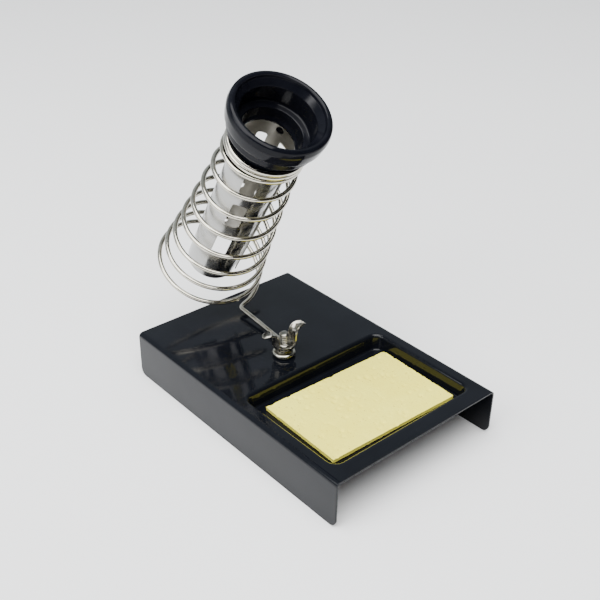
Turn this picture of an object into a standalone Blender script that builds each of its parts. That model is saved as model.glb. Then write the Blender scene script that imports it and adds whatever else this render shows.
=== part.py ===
"""Soldering iron stand.

A folded steel base with a pressed tray for a cleaning sponge, and a coiled wire
holder, clamped to the base by a screw and a wing nut, that carries the funnel
and the perforated tube which guard the hot iron. Metres, +Z up, front at -Y.
"""

import math

import bmesh
import bpy
from mathutils import Matrix, Vector

MM = 0.001

# Clearance kept between pieces that touch on the real stand.
GAP = 0.3 * MM

# Base: one sheet, folded down at both sides, with a tray pressed into the front.
BASE_WIDTH = 100.0 * MM
BASE_LENGTH = 147.0 * MM
BASE_HEIGHT = 24.5 * MM
SHEET = 1.0 * MM
FOLD_RADIUS = 2.3 * MM
FLANGE_CORNER = 4.0 * MM

TRAY_WIDTH = 89.0 * MM
TRAY_LENGTH = 64.5 * MM
TRAY_FRONT_MARGIN = 7.5 * MM
TRAY_DEPTH = 8.2 * MM
TRAY_CORNER = 6.5 * MM
TRAY_RIM_RADIUS = 2.0 * MM
TRAY_FLOOR_RADIUS = 1.2 * MM
TRAY_WALL_ANGLE = math.radians(84)

# Sponge: a compressed sheet that lies loose, a little askew, on the tray's floor.
SPONGE_WIDTH = 75.0 * MM
SPONGE_LENGTH = 47.5 * MM
SPONGE_THICKNESS = 1.9 * MM
SPONGE_SHIFT_X = 2.3 * MM
SPONGE_TURN = math.radians(-1.7)

# Clamp: a 4.8 mm screw with a 1.06 mm thread through the base, measured from the middle of the base.
STUD_X = -6.0 * MM
STUD_Y = 12.0 * MM
STUD_RADIUS = 2.41 * MM
STUD_RISE = 12.8 * MM
STUD_CHAMFER = 0.6 * MM
HEAD_RADIUS = 4.75 * MM
HEAD_HEIGHT = 3.0 * MM
RECESS_SPAN = 4.8 * MM
RECESS_SLOT = 1.1 * MM
RECESS_DEPTH = 1.8 * MM
WASHER_RADIUS = 5.0 * MM
WASHER_THICKNESS = 1.0 * MM
LOCK_WASHER_RADIUS = 4.3 * MM
LOCK_WASHER_THICKNESS = 0.9 * MM
LOCK_WASHER_SPLIT = math.radians(14)

NUT_FOOT_RADIUS = 4.4 * MM
NUT_RIM_RADIUS = 5.2 * MM
NUT_HEIGHT = 3.2 * MM
NUT_FLOOR = 1.7 * MM
NUT_WALL = 0.8 * MM
NUT_TURN = math.radians(-5.5)
WING_LINE = ((4.6, 1.5, 3.0), (5.5, 2.6, 3.2), (5.8, 4.4, 3.2), (6.0, 6.2, 3.15),
             (6.5, 7.8, 3.05), (7.4, 8.8, 2.85), (8.7, 9.3, 2.5), (10.1, 9.4, 2.0),
             (11.3, 9.3, 1.3), (12.15, 9.25, 0.5))  # reach, rise, half width in mm
WING_THICKNESS = 0.9 * MM

# Wire holder: eye round the stud, straight arm, then the coil, all one wire.
WIRE_RADIUS = 1.15 * MM
EYE_RADIUS = 4.6 * MM
EYE_OPENING = math.radians(62)
BEND_RADIUS = 3.0 * MM

# Coil axis: it starts behind and above the stud and leans forward, to the front.
COIL_FOOT = Vector((4.0 * MM, 64.8 * MM, 47.1 * MM))
COIL_TILT = math.radians(58.3)
COIL_LEAN = math.radians(-3.5)
COIL_PHASE = math.radians(9.6)
COIL_FOOT_RADIUS = 27.0 * MM
COIL_NECK_RADIUS = 18.05 * MM
COIL_WAIST = 0.5
COIL_START = -5.6 * MM
NECK_STATION = 93.0 * MM
PITCH_MEAN = 12.5 * MM
PITCH_SWELL = 1.65 * MM
PITCH_EASE = 2.4 * MM
PITCH_CLOSE = 2.45 * MM
SWELL_START = 1.2
SWELL_TURNS = 8.6
OPEN_TURNS = 7.9
COIL_TURNS = 10.15
STEPS_PER_TURN = 24

# Funnel: stations are distances along the coil's axis from the coil's foot.
FUNNEL_BOTTOM = 89.5 * MM
FUNNEL_SEAT = 97.6 * MM
FUNNEL_THROAT = 98.6 * MM
FUNNEL_STEP = 104.5 * MM
FUNNEL_LIP_BOTTOM = 109.2 * MM
FUNNEL_COLLAR = 21.2 * MM
FUNNEL_COLLAR_BOTTOM = 103.9 * MM
FUNNEL_EDGE = 114.4 * MM
FUNNEL_TOP = 118.6 * MM
FUNNEL_RADIUS = 23.95 * MM
FUNNEL_CAVITY = 17.7 * MM
FUNNEL_HOLE = 12.7 * MM
FUNNEL_BORE = 14.9 * MM
FUNNEL_CREST = 21.8 * MM

# Heat tube: a rolled, slightly tapered sheet whose edges overlap at a loose seam.
TUBE_BOTTOM = 4.0 * MM
TUBE_TOP = FUNNEL_SEAT - GAP
TUBE_SHEET = 0.5 * MM
TUBE_BOTTOM_RADIUS = 11.9 * MM
TUBE_TOP_RADIUS = 13.1 * MM
TUBE_ROLL = 1.15 * MM
SEAM_ANGLE = math.radians(40)
TUBE_WRAP = math.radians(370)
SLOT_WIDTH = 7.2 * MM
SLOT_LENGTH = 16.6 * MM
SLOT_CORNER = 2.0 * MM
WINDOW_WIDTH = 5.0 * MM
WINDOW_LENGTH = 9.0 * MM
WINDOW_CORNER = 1.4 * MM
WINDOW_STATION = 84.5 * MM
SLOT_STATIONS = (33.0 * MM, 57.5 * MM, 82.0 * MM)
SLOT_ANGLES = (math.radians(316), math.radians(146), math.radians(97))
BACK_HOLE_LENGTH = 5.0 * MM
BACK_HOLE_STATIONS = (22.3 * MM, 50.9 * MM)
NOTCH_WIDTH = 12.4 * MM
NOTCH_LENGTH = 12.0 * MM  # half of it is past the tube's lower end
NOTCH_ANGLE = math.radians(121)
FIXING_HOLE_RADIUS = 2.0 * MM
FIXING_HOLE_STATION = 94.2 * MM
FIXING_HOLE_ANGLE = math.radians(117.5)


# ---------------------------------------------------------------- helpers

def clear_scene():
    for obj in list(bpy.data.objects):
        bpy.data.objects.remove(obj, do_unlink=True)


def make_material(name, colour, roughness, metallic):
    material = bpy.data.materials.new(name)
    material.use_nodes = True
    shader = material.node_tree.nodes["Principled BSDF"]
    shader.inputs["Base Color"].default_value = (*colour, 1.0)
    shader.inputs["Roughness"].default_value = roughness
    shader.inputs["Metallic"].default_value = metallic
    return material


def add_object(name, data, parent=None, material=None):
    obj = bpy.data.objects.new(name, data)
    bpy.context.collection.objects.link(obj)
    obj.parent = parent
    if material is not None:
        data.materials.append(material)
    return obj


def add_empty(name, location, parent=None):
    empty = add_object(name, None, parent)
    empty.location = location
    return empty


def finish_mesh(name, bm, smooth_angle=math.radians(35)):
    bmesh.ops.recalc_face_normals(bm, faces=bm.faces)
    mesh = bpy.data.meshes.new(name)
    bm.to_mesh(mesh)
    bm.free()
    mesh.shade_smooth()
    mesh.set_sharp_from_angle(angle=smooth_angle)
    return mesh


def turned_mesh(name, outline, segments):
    """Turn an outline of (radius, height) points round Z into a closed solid."""
    bm = bmesh.new()
    verts = [bm.verts.new((radius, 0.0, height)) for radius, height in outline]
    closed_outline = min(radius for radius, _ in outline) > 0.0
    pairs = list(zip(verts, verts[1:]))
    if closed_outline:
        pairs.append((verts[-1], verts[0]))
    edges = [bm.edges.new(pair) for pair in pairs]
    bmesh.ops.spin(bm, geom=verts + edges, cent=(0, 0, 0), axis=(0, 0, 1),
                   dvec=(0, 0, 0), angle=math.tau, steps=segments, use_merge=True)
    bmesh.ops.remove_doubles(bm, verts=bm.verts, dist=0.001 * MM)
    return finish_mesh(name, bm)


def lofted_mesh(name, rings):
    """Join closed rings of equal length, first to last, and cap both ends."""
    bm = bmesh.new()
    loops = [[bm.verts.new(point) for point in ring] for ring in rings]
    count = len(loops[0])
    for lower, upper in zip(loops, loops[1:]):
        for i in range(count):
            j = (i + 1) % count
            bm.faces.new((lower[i], lower[j], upper[j], upper[i]))
    bm.faces.new(loops[0])
    bm.faces.new(loops[-1])
    return finish_mesh(name, bm)


def add_boolean(target, cutter, operation):
    modifier = target.modifiers.new(cutter.name, "BOOLEAN")
    modifier.operation = operation
    modifier.object = cutter
    modifier.solver = "EXACT"
    cutter.hide_render = True
    cutter.display_type = "WIRE"


def arc(centre, radius, start, end, steps):
    """Points on a circle in a plane, both ends included."""
    points = []
    for i in range(steps + 1):
        angle = start + (end - start) * i / steps
        points.append((centre[0] + radius * math.cos(angle),
                       centre[1] + radius * math.sin(angle)))
    return points


def rounded_rectangle(half_x, half_y, radius, steps=6):
    points = []
    corners = ((1, 1), (-1, 1), (-1, -1), (1, -1))
    for i, (sx, sy) in enumerate(corners):
        centre = (sx * (half_x - radius), sy * (half_y - radius))
        start = i * math.pi / 2
        points += arc(centre, radius, start, start + math.pi / 2, steps)
    return points


# ---------------------------------------------------------------- base

def base_channel_mesh():
    """The folded sheet: a flat deck with a flange down each side."""
    half = BASE_WIDTH / 2
    inner_radius = FOLD_RADIUS - SHEET
    top = BASE_HEIGHT - FOLD_RADIUS
    side = half - FOLD_RADIUS
    outline = [(half, 0.0)]
    outline += arc((side, top), FOLD_RADIUS, 0.0, math.pi / 2, 6)
    outline += arc((-side, top), FOLD_RADIUS, math.pi / 2, math.pi, 6)
    outline += [(-half, 0.0), (-half + SHEET, 0.0)]
    outline += arc((-side, top), inner_radius, math.pi, math.pi / 2, 6)
    outline += arc((side, top), inner_radius, math.pi / 2, 0.0, 6)
    outline += [(half - SHEET, 0.0)]
    ends = (-BASE_LENGTH / 2, BASE_LENGTH / 2)
    rings = [[(x, y, z) for x, z in outline] for y in ends]
    mesh = lofted_mesh("base_plate", rings)
    bm = bmesh.new()
    bm.from_mesh(mesh)
    corners = [edge for edge in bm.edges if is_flange_corner(edge)]
    bmesh.ops.bevel(bm, geom=corners, offset=FLANGE_CORNER, segments=6,
                    profile=0.5, affect="EDGES")
    bm.to_mesh(mesh)
    bm.free()
    return mesh


def is_flange_corner(edge):
    """True for the short edges across the sheet at the flanges' lower corners."""
    along_x = abs(edge.verts[0].co.y - edge.verts[1].co.y) < SHEET / 2
    at_bottom = all(vert.co.z < SHEET / 2 for vert in edge.verts)
    return along_x and at_bottom


def tray_profile(offset):
    """(inset, depth) of the pressed tray's skin, `offset` below the outer skin."""
    rim = TRAY_RIM_RADIUS - offset
    floor = TRAY_FLOOR_RADIUS + offset
    wall_sin = math.sin(TRAY_WALL_ANGLE)
    wall_cos = math.cos(TRAY_WALL_ANGLE)
    points = []
    for i in range(5):
        angle = TRAY_WALL_ANGLE * i / 4
        points.append((rim * math.sin(angle),
                       TRAY_RIM_RADIUS - rim * math.cos(angle)))
    wall_top = TRAY_RIM_RADIUS * (1 - wall_cos)
    wall_bottom = TRAY_DEPTH - TRAY_FLOOR_RADIUS * (1 - wall_cos)
    run = (wall_bottom - wall_top) * wall_cos / wall_sin
    centre = (TRAY_RIM_RADIUS + TRAY_FLOOR_RADIUS) * wall_sin + run
    for i in range(5):
        angle = TRAY_WALL_ANGLE * (4 - i) / 4
        points.append((centre - floor * math.sin(angle),
                       TRAY_DEPTH - TRAY_FLOOR_RADIUS + floor * math.cos(angle)))
    return points


def tray_mesh(name, offset, top_depth):
    """The tray's skin as a closed block that reaches up to `top_depth`."""
    profile = [(inset, depth) for inset, depth in tray_profile(offset)]
    profile.insert(0, (profile[0][0], top_depth))
    rings = []
    for inset, depth in profile:
        ring = rounded_rectangle(TRAY_WIDTH / 2 - inset, TRAY_LENGTH / 2 - inset,
                                 TRAY_CORNER - inset)
        rings.append([(x, y, -depth) for x, y in ring])
    return lofted_mesh(name, rings)


def tray_centre():
    front = -BASE_LENGTH / 2 + TRAY_FRONT_MARGIN
    return Vector((0.0, front + TRAY_LENGTH / 2, BASE_HEIGHT))


def build_base(stand, paint):
    base = add_object("base_plate", base_channel_mesh(), stand, paint)
    shell = add_object("tray_shell", tray_mesh("tray_shell", SHEET, SHEET / 2), stand)
    space = add_object("tray_space", tray_mesh("tray_space", 0.0, -SHEET), stand)
    for block in (shell, space):
        block.location = tray_centre()
    hole_radius = STUD_RADIUS + GAP
    outline = [(0.0, -2 * SHEET), (hole_radius, -2 * SHEET),
               (hole_radius, SHEET), (0.0, SHEET)]
    hole = add_object("stud_hole", turned_mesh("stud_hole", outline, 24), stand)
    hole.location = (STUD_X, STUD_Y, BASE_HEIGHT)
    add_boolean(base, shell, "UNION")
    add_boolean(base, space, "DIFFERENCE")
    add_boolean(base, hole, "DIFFERENCE")
    return base


def build_sponge(stand, material):
    rings = []
    for height in (0.0, SPONGE_THICKNESS):
        ring = rounded_rectangle(SPONGE_WIDTH / 2, SPONGE_LENGTH / 2, 0.5 * MM, 2)
        rings.append([(x, y, height) for x, y in ring])
    sponge = add_object("sponge", lofted_mesh("sponge", rings), stand, material)
    floor = BASE_HEIGHT - TRAY_DEPTH
    sponge.location = (SPONGE_SHIFT_X, tray_centre().y, floor + GAP)
    sponge.rotation_euler.z = SPONGE_TURN
    return sponge


# ---------------------------------------------------------------- clamp

def clamp_levels():
    """Heights of the pieces stacked on the screw, from the head to the nut."""
    head_washer = BASE_HEIGHT - SHEET - GAP - WASHER_THICKNESS
    head = head_washer - GAP
    eye = BASE_HEIGHT + GAP + WIRE_RADIUS
    lock_washer = eye + WIRE_RADIUS + GAP
    nut = lock_washer + LOCK_WASHER_THICKNESS + GAP
    return head, head_washer, eye, lock_washer, nut


def build_screw(stand, material):
    head, _, _, _, _ = clamp_levels()
    top = BASE_HEIGHT + STUD_RISE
    crown = HEAD_HEIGHT * 0.45
    outline = [(0.0, head - HEAD_HEIGHT)]
    outline += [(HEAD_RADIUS * 0.62, head - HEAD_HEIGHT)]
    outline += [(HEAD_RADIUS * 0.9, head - HEAD_HEIGHT + crown * 0.35)]
    outline += [(HEAD_RADIUS, head - HEAD_HEIGHT + crown), (HEAD_RADIUS, head)]
    outline += [(STUD_RADIUS, head), (STUD_RADIUS, top - STUD_CHAMFER)]
    outline += [(STUD_RADIUS - STUD_CHAMFER, top - 0.15 * MM), (0.0, top)]
    mesh = turned_mesh("clamp_screw", outline, 24)
    screw = add_object("clamp_screw", mesh, stand, material)
    screw.location = (STUD_X, STUD_Y, 0.0)
    for i in range(2):
        slot = add_object(f"recess_{i}", recess_mesh(), stand)
        slot.location = (STUD_X, STUD_Y, head - HEAD_HEIGHT)
        slot.rotation_euler.z = i * math.pi / 2
        add_boolean(screw, slot, "DIFFERENCE")
    return screw


def recess_mesh():
    """One arm of the driver's cross: a slot that narrows towards its bottom."""
    rings = []
    for height, share in ((-RECESS_DEPTH, 1.6), (RECESS_DEPTH, 0.4)):
        half_x = RECESS_SPAN / 2 * share
        half_y = RECESS_SLOT / 2
        rings.append([(half_x, half_y, height), (-half_x, half_y, height),
                      (-half_x, -half_y, height), (half_x, -half_y, height)])
    return lofted_mesh("recess", rings)


def build_head_washer(stand, material):
    _, level, _, _, _ = clamp_levels()
    bore = STUD_RADIUS + GAP
    outline = [(bore, 0.0), (WASHER_RADIUS, 0.0),
               (WASHER_RADIUS, WASHER_THICKNESS), (bore, WASHER_THICKNESS)]
    mesh = turned_mesh("head_washer", outline, 32)
    washer = add_object("head_washer", mesh, stand, material)
    washer.location = (STUD_X, STUD_Y, level)
    return washer


def build_lock_washer(stand, material):
    """A split spring washer: a flat ring cut through at a slant."""
    _, _, _, level, _ = clamp_levels()
    bore = STUD_RADIUS + GAP
    slant = LOCK_WASHER_SPLIT
    steps = 30
    rings = []
    for i in range(steps + 1):
        share = i / steps
        ring = []
        for radius, height in ((bore, 0.0), (LOCK_WASHER_RADIUS, 0.0),
                               (LOCK_WASHER_RADIUS, LOCK_WASHER_THICKNESS),
                               (bore, LOCK_WASHER_THICKNESS)):
            turn = slant * height / LOCK_WASHER_THICKNESS
            angle = turn + (math.tau - slant) * share
            ring.append((radius * math.cos(angle), radius * math.sin(angle), height))
        rings.append(ring)
    washer = add_object("lock_washer", lofted_mesh("lock_washer", rings), stand, material)
    washer.location = (STUD_X, STUD_Y, level)
    return washer


def wing_mesh():
    """One wing: a strip that stands up from the nut's side, then folds out to a leaf."""
    half_sheet = WING_THICKNESS / 2
    line = [Vector((x * MM, 0.0, z * MM)) for x, z, _ in WING_LINE]
    rings = []
    for i, (_, _, half) in enumerate(WING_LINE):
        along = (line[min(i + 1, len(line) - 1)] - line[max(i - 1, 0)]).normalized()
        normal = Vector((-along.z, 0.0, along.x))
        ring = []
        for side, across in ((-1, -1), (-1, 1), (1, 1), (1, -1)):
            ring.append(line[i] + normal * half_sheet * side
                        + Vector((0.0, half * across * MM, 0.0)))
        rings.append(ring)
    return lofted_mesh("wing", rings)


def build_wing_nut(stand, material):
    """A pressed cup with a threaded floor and two wings drawn up from its rim."""
    _, _, _, _, level = clamp_levels()
    bore = STUD_RADIUS + GAP
    outline = [(bore, 0.0), (NUT_FOOT_RADIUS, 0.0), (NUT_RIM_RADIUS, NUT_HEIGHT),
               (NUT_RIM_RADIUS - NUT_WALL, NUT_HEIGHT),
               (NUT_FOOT_RADIUS - NUT_WALL * 0.6, NUT_FLOOR), (bore, NUT_FLOOR)]
    nut = add_object("wing_nut", turned_mesh("wing_nut", outline, 32), stand, material)
    nut.location = (STUD_X, STUD_Y, level)
    nut.rotation_euler.z = NUT_TURN
    for i in range(2):
        wing = add_object(f"wing_{i}", wing_mesh(), nut)
        wing.rotation_euler.z = i * math.pi
        add_boolean(nut, wing, "UNION")
    return nut


# ---------------------------------------------------------------- wire holder

def coil_frame():
    """Axis, rightward and backward directions of the coil."""
    axis = Vector((math.sin(COIL_LEAN) * math.cos(COIL_TILT),
                   -math.cos(COIL_LEAN) * math.cos(COIL_TILT),
                   math.sin(COIL_TILT)))
    right = axis.cross(Vector((0.0, 0.0, 1.0))).normalized()
    right = right if right.x > 0 else -right
    back = axis.cross(right)
    return axis, right, back


def coil_matrix():
    """Places things modelled along +Z on the coil's axis, from the stud's foot."""
    axis, right, back = coil_frame()
    matrix = Matrix((right, back, axis)).transposed().to_4x4()
    matrix.translation = COIL_FOOT
    return matrix


def coil_pitch(turn):
    """Rise per turn: eased in at the foot, swelling past the middle, close at the neck."""
    swell = math.cos(math.tau * (turn - SWELL_START) / SWELL_TURNS)
    pitch = PITCH_MEAN - PITCH_SWELL * swell - PITCH_EASE * max(0.0, 1 - turn)
    blend = min(1.0, max(0.0, (turn - OPEN_TURNS + 0.15) / 0.3))
    blend = blend * blend * (3 - 2 * blend)
    return pitch + (PITCH_CLOSE - pitch) * blend


def coil_radius(station):
    share = min(1.0, station / NECK_STATION)
    share += COIL_WAIST * share * (1 - share)
    return COIL_FOOT_RADIUS + (COIL_NECK_RADIUS - COIL_FOOT_RADIUS) * share


def coil_points():
    """Centre line of the coil, from its foot at the front, rising to the neck."""
    place = coil_matrix()
    station = COIL_START
    points = []
    for i in range(round(COIL_TURNS * STEPS_PER_TURN) + 1):
        turn = i / STEPS_PER_TURN
        angle = math.tau * turn + COIL_PHASE
        radius = coil_radius(station)
        points.append(place @ Vector((radius * math.sin(angle),
                                      -radius * math.cos(angle), station)))
        station += coil_pitch(turn + 0.5 / STEPS_PER_TURN) / STEPS_PER_TURN
    return points


def rounded_corner(before, corner, after, radius, steps=6):
    """The arc that replaces a corner between two straight stretches."""
    to_before = (before - corner).normalized()
    to_after = (after - corner).normalized()
    half = to_before.angle(to_after) / 2
    reach = radius / math.tan(half)
    bisector = (to_before + to_after).normalized()
    centre = corner + bisector * radius / math.sin(half)
    start = corner + to_before * reach - centre
    end = corner + to_after * reach - centre
    return [centre + start.slerp(end, i / steps) * radius for i in range(steps + 1)]


def holder_points():
    """Centre line of the whole wire, measured from the stud's axis at the bench."""
    coil = coil_points()
    corner = coil[0]
    _, _, eye_level, _, _ = clamp_levels()
    distance = math.hypot(corner.x, corner.y)
    heading = math.atan2(corner.y, corner.x) + math.asin(EYE_RADIUS / distance)
    leave = heading - math.pi / 2
    eye = arc((0.0, 0.0), EYE_RADIUS, leave - math.tau + EYE_OPENING, leave, 20)
    eye = [Vector((x, y, eye_level)) for x, y in eye]
    bend = rounded_corner(eye[-1], corner, coil[1], BEND_RADIUS)
    return eye + bend + coil[1:]


def build_spring_holder(pivot, material):
    curve = bpy.data.curves.new("spring_holder", "CURVE")
    curve.dimensions = "3D"
    curve.bevel_depth = WIRE_RADIUS
    curve.bevel_resolution = 2
    curve.use_fill_caps = True
    points = holder_points()
    spline = curve.splines.new("POLY")
    spline.points.add(len(points) - 1)
    for target, point in zip(spline.points, points):
        target.co = (*point, 1.0)
    return add_object("spring_holder", curve, pivot, material)


# ---------------------------------------------------------------- funnel

def funnel_outline():
    """(radius, station) round the funnel's wall, up the inside and down the outside."""
    neck = COIL_NECK_RADIUS - WIRE_RADIUS - GAP
    inside = [(FUNNEL_BORE, FUNNEL_BOTTOM), (FUNNEL_BORE, FUNNEL_SEAT),
              (FUNNEL_HOLE, FUNNEL_SEAT), (FUNNEL_HOLE, FUNNEL_THROAT),
              (FUNNEL_HOLE + 0.9 * MM, FUNNEL_THROAT + 1.8 * MM),
              (FUNNEL_HOLE + 1.8 * MM, FUNNEL_STEP),
              (FUNNEL_CAVITY - 0.3 * MM, FUNNEL_STEP + 0.5 * MM),
              (FUNNEL_CAVITY, FUNNEL_STEP + 1.2 * MM),
              (FUNNEL_CAVITY, FUNNEL_EDGE - 0.5 * MM),
              (FUNNEL_CAVITY + 0.3 * MM, FUNNEL_EDGE),
              (FUNNEL_CREST - 1.3 * MM, FUNNEL_TOP - 1.2 * MM)]
    crest = arc((FUNNEL_CREST, FUNNEL_TOP - 2.1 * MM), 2.1 * MM,
                math.radians(115), math.radians(0), 5)
    lip_height = FUNNEL_TOP - FUNNEL_LIP_BOTTOM
    outside = [(FUNNEL_RADIUS, FUNNEL_TOP - 0.35 * lip_height),
               (FUNNEL_RADIUS - 0.4 * MM, FUNNEL_LIP_BOTTOM + 4.0 * MM)]
    lip = arc((FUNNEL_RADIUS - 2.6 * MM, FUNNEL_LIP_BOTTOM + 2.0 * MM), 2.0 * MM,
              math.radians(-10), math.radians(-90), 4)
    collar = [(FUNNEL_COLLAR, FUNNEL_LIP_BOTTOM - 0.4 * MM),
              (FUNNEL_COLLAR, FUNNEL_COLLAR_BOTTOM + 0.7 * MM),
              (FUNNEL_COLLAR - 0.7 * MM, FUNNEL_COLLAR_BOTTOM)]
    root = arc((neck + 0.6 * MM, FUNNEL_COLLAR_BOTTOM - 0.6 * MM), 0.6 * MM,
               math.radians(90), math.radians(180), 3)
    return inside + crest + outside + lip + collar + root + [(neck, FUNNEL_BOTTOM)]


def build_funnel(holder_axis, material):
    mesh = turned_mesh("funnel", funnel_outline(), 40)
    return add_object("funnel", mesh, holder_axis, material)


# ---------------------------------------------------------------- heat tube

def tube_radius(station):
    share = (station - TUBE_BOTTOM) / (TUBE_TOP - TUBE_BOTTOM)
    return TUBE_BOTTOM_RADIUS + (TUBE_TOP_RADIUS - TUBE_BOTTOM_RADIUS) * share


def on_tube(radius, angle, station):
    """A point at an angle counted from the tube's front towards its right."""
    return (radius * math.sin(angle), -radius * math.cos(angle), station)


def tube_sheet_mesh():
    steps = 56
    rings = []
    for i in range(steps + 1):
        share = i / steps
        angle = SEAM_ANGLE + TUBE_WRAP * share
        roll = TUBE_ROLL * (1 - share)
        ring = []
        for side, station in ((-1, TUBE_BOTTOM), (1, TUBE_BOTTOM),
                              (1, TUBE_TOP), (-1, TUBE_TOP)):
            radius = tube_radius(station) + roll + side * TUBE_SHEET / 2
            ring.append(on_tube(radius, angle, station))
        rings.append(ring)
    return lofted_mesh("heat_tube", rings)


def slot_mesh(width, length, radius, steps):
    """A bar along +X, with rounded corners, that cuts one wall of the tube."""
    if width == length == 2 * radius:
        outline = arc((0.0, 0.0), radius, 0.0, math.tau, 4 * steps)[:-1]
    else:
        outline = rounded_rectangle(width / 2, length / 2, radius, steps)
    reach = (TUBE_BOTTOM_RADIUS * 0.4, TUBE_TOP_RADIUS * 1.5)
    rings = [[(x, y, z) for y, z in outline] for x in reach]
    return lofted_mesh("slot", rings)


def build_heat_tube(holder_axis, material):
    tube = add_object("heat_tube", tube_sheet_mesh(), holder_axis, material)
    slot = slot_mesh(SLOT_WIDTH, SLOT_LENGTH, SLOT_CORNER, 4)
    window = slot_mesh(WINDOW_WIDTH, WINDOW_LENGTH, WINDOW_CORNER, 4)
    small = slot_mesh(WINDOW_WIDTH, BACK_HOLE_LENGTH, WINDOW_CORNER, 4)
    notch = slot_mesh(NOTCH_WIDTH, NOTCH_LENGTH, SLOT_CORNER, 4)
    cuts = [(slot, SLOT_ANGLES[0], station) for station in SLOT_STATIONS]
    cuts += [(small, angle, station) for angle in SLOT_ANGLES[1:] for station in BACK_HOLE_STATIONS]
    cuts.append((notch, NOTCH_ANGLE, TUBE_BOTTOM))
    cuts += [(window, angle, WINDOW_STATION) for angle in SLOT_ANGLES[1:]]
    hole = slot_mesh(2 * FIXING_HOLE_RADIUS, 2 * FIXING_HOLE_RADIUS, FIXING_HOLE_RADIUS, 4)
    cuts.append((hole, FIXING_HOLE_ANGLE, FIXING_HOLE_STATION))
    for i, (mesh, angle, station) in enumerate(cuts):
        cutter = add_object(f"tube_cut_{i}", mesh, holder_axis)
        cutter.location.z = station
        cutter.rotation_euler.z = angle - math.pi / 2
        add_boolean(tube, cutter, "DIFFERENCE")
    return tube


# ---------------------------------------------------------------- assembly

def centre_on_bench(stand):
    """Move the stand so that the middle of its outline is at the origin."""
    bpy.context.view_layer.update()
    graph = bpy.context.evaluated_depsgraph_get()
    corners = []
    for obj in bpy.data.objects:
        if obj.type in {"MESH", "CURVE"} and not obj.hide_render:
            mesh = obj.evaluated_get(graph).to_mesh()
            corners += [obj.matrix_world @ vert.co for vert in mesh.vertices]
            obj.evaluated_get(graph).to_mesh_clear()
    for i in range(2):
        low = min(corner[i] for corner in corners)
        high = max(corner[i] for corner in corners)
        stand.location[i] -= (low + high) / 2


def main():
    clear_scene()
    paint = make_material("black_paint", (0.010, 0.010, 0.014), 0.22, 0.0)
    cellulose = make_material("cellulose", (0.82, 0.70, 0.38), 0.95, 0.0)
    nickel = make_material("nickel_wire", (0.74, 0.72, 0.68), 0.18, 1.0)
    zinc = make_material("zinc_hardware", (0.70, 0.69, 0.66), 0.28, 1.0)
    bright_steel = make_material("bright_sheet", (0.78, 0.77, 0.75), 0.22, 1.0)
    moulding = make_material("black_moulding", (0.008, 0.008, 0.012), 0.10, 0.0)

    stand = add_empty("stand", (0.0, 0.0, 0.0))
    build_base(stand, paint)
    build_sponge(stand, cellulose)
    build_screw(stand, zinc)
    build_head_washer(stand, zinc)
    build_lock_washer(stand, zinc)
    build_wing_nut(stand, zinc)

    pivot = add_empty("holder_pivot", (STUD_X, STUD_Y, 0.0), stand)
    build_spring_holder(pivot, nickel)
    holder_axis = add_empty("holder_axis", (0.0, 0.0, 0.0), pivot)
    holder_axis.matrix_local = coil_matrix()
    build_funnel(holder_axis, moulding)
    build_heat_tube(holder_axis, bright_steel)
    centre_on_bench(stand)


main()
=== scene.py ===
"""Looks of the soldering iron stand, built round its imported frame.

Every piece stands for one node of the frame and is modelled again at full
detail, in metres, in the frame's own coordinates.
"""

import math
import random

import bmesh
import bpy
import numpy as np
from mathutils import Matrix, Vector, noise


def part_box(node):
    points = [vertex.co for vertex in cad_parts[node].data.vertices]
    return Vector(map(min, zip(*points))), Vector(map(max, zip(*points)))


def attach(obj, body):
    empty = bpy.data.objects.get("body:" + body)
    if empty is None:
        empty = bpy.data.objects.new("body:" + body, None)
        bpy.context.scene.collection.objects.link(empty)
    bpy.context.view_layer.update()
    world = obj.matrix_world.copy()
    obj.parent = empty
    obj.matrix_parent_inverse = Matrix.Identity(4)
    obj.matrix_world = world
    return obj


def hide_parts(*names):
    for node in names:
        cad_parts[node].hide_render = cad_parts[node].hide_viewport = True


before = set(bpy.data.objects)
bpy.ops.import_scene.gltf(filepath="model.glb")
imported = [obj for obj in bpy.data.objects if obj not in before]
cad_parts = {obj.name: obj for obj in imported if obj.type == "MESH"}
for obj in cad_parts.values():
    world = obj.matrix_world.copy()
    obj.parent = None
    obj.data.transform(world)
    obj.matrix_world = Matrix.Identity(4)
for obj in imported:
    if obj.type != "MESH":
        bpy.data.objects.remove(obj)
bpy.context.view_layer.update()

MM = 0.001

# Places taken from the frame.
BASE_LOW, BASE_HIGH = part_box("base_plate")
BASE_CENTRE = (BASE_LOW + BASE_HIGH) / 2
DECK = BASE_HIGH.z
SCREW_LOW, SCREW_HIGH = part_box("clamp_screw")
STUD = Vector(((SCREW_LOW.x + SCREW_HIGH.x) / 2, (SCREW_LOW.y + SCREW_HIGH.y) / 2, 0.0))
SPONGE_LOW, SPONGE_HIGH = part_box("sponge")
LOCK_LOW, LOCK_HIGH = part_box("lock_washer")
HEAD_WASHER_LOW, HEAD_WASHER_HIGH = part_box("head_washer")
NUT_LOW, NUT_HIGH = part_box("wing_nut")
HOLDER_LOW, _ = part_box("spring_holder")

# Base sheet and its pressed tray.
SHEET = 1.0 * MM
FOLD_RADIUS = 2.3 * MM
FLANGE_CORNER = 4.0 * MM
TRAY_WIDTH = 89.0 * MM
TRAY_LENGTH = 64.5 * MM
TRAY_FRONT_MARGIN = 7.5 * MM
TRAY_DEPTH = 8.2 * MM
TRAY_CORNER = 6.5 * MM
TRAY_RIM_RADIUS = 2.0 * MM
TRAY_FLOOR_RADIUS = 1.2 * MM
TRAY_WALL_ANGLE = math.radians(84)
EDGE_ROUND = 0.22 * MM

# Sponge.
SPONGE_WIDTH = 75.0 * MM
SPONGE_LENGTH = 47.5 * MM
SPONGE_TURN = math.radians(-1.7)
SPONGE_CELL = 0.55 * MM

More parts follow.
